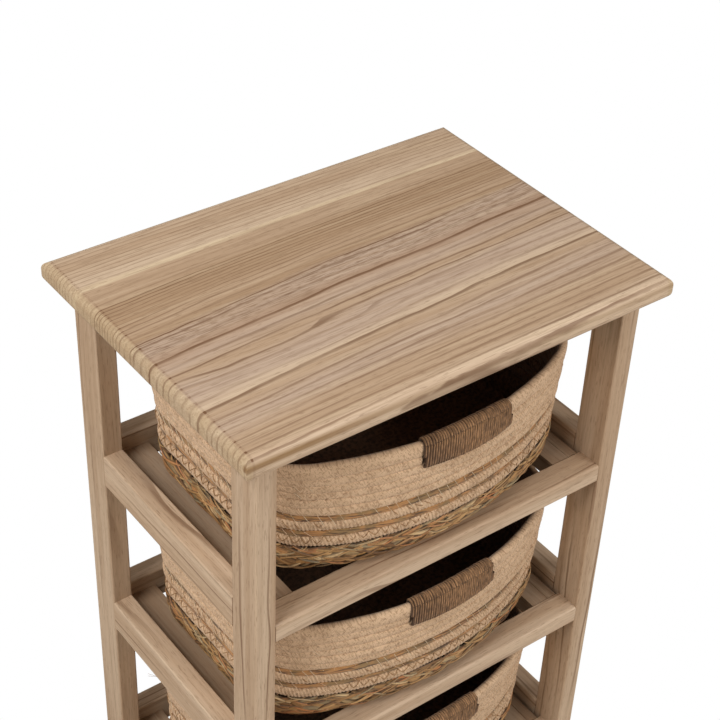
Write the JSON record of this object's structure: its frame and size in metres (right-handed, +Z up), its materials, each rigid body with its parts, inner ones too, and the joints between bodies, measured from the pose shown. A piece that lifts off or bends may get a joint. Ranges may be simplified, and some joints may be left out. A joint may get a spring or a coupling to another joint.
{
  "type": "bathroom drawer unit",
  "caption": "Free-standing narrow wooden drawer unit with a rounded top, post-and-rail frame and pull-out baskets of coiled rope and braided husk",
  "frame": {"origin": "on the floor, under the middle of the unit's outline", "axes": "+Z up along the longest extent, +X to the right seen from the front, +Y to the back, so the baskets pull out along -Y"},
  "size_m": [0.4, 0.29, 0.59],
  "materials": {
    "top_wood": "pale light wood, thin matt oil",
    "frame_wood": "pale light wood, thin matt oil",
    "cotton_rope": "coiled and stitched cotton rope, matt",
    "husk": "braided dry husk, matt",
    "jute": "jute twine, matt"
  },
  "bodies": {
    "frame": {"top_panel": "top_wood", "post_front_left": "frame_wood", "post_front_right": "frame_wood", "post_back_left": "frame_wood", "post_back_right": "frame_wood", "side_rail_left_1": "frame_wood", "side_rail_right_1": "frame_wood", "runner_left_1": "frame_wood", "runner_right_1": "frame_wood", "back_rail_1": "frame_wood", "front_rail_1": "frame_wood", "side_rail_left_2": "frame_wood", "side_rail_right_2": "frame_wood", "runner_left_2": "frame_wood", "runner_right_2": "frame_wood", "back_rail_2": "frame_wood", "front_rail_2": "frame_wood", "side_rail_left_3": "frame_wood", "side_rail_right_3": "frame_wood", "runner_left_3": "frame_wood", "runner_right_3": "frame_wood", "back_rail_3": "frame_wood", "front_rail_3": "frame_wood"},
    "basket_1": {"basket_1_husk_base": "husk", "basket_1_rope_wall": "cotton_rope", "basket_1_handle_core": "cotton_rope", "basket_1_handle_wrap": "jute"},
    "basket_2": {"basket_2_husk_base": "husk", "basket_2_rope_wall": "cotton_rope", "basket_2_handle_core": "cotton_rope", "basket_2_handle_wrap": "jute"},
    "basket_3": {"basket_3_husk_base": "husk", "basket_3_rope_wall": "cotton_rope", "basket_3_handle_core": "cotton_rope", "basket_3_handle_wrap": "jute"}
  },
  "joints": [
    {"name": "basket_1_slide", "type": "slide", "parent": "frame", "child": "basket_1", "axis": [0, -1, 0], "range_m": [0, 0.125]},
    {"name": "basket_2_slide", "type": "slide", "parent": "frame", "child": "basket_2", "axis": [0, -1, 0], "range_m": [0, 0.125]},
    {"name": "basket_3_slide", "type": "slide", "parent": "frame", "child": "basket_3", "axis": [0, -1, 0], "range_m": [0, 0.125]}
  ]
}
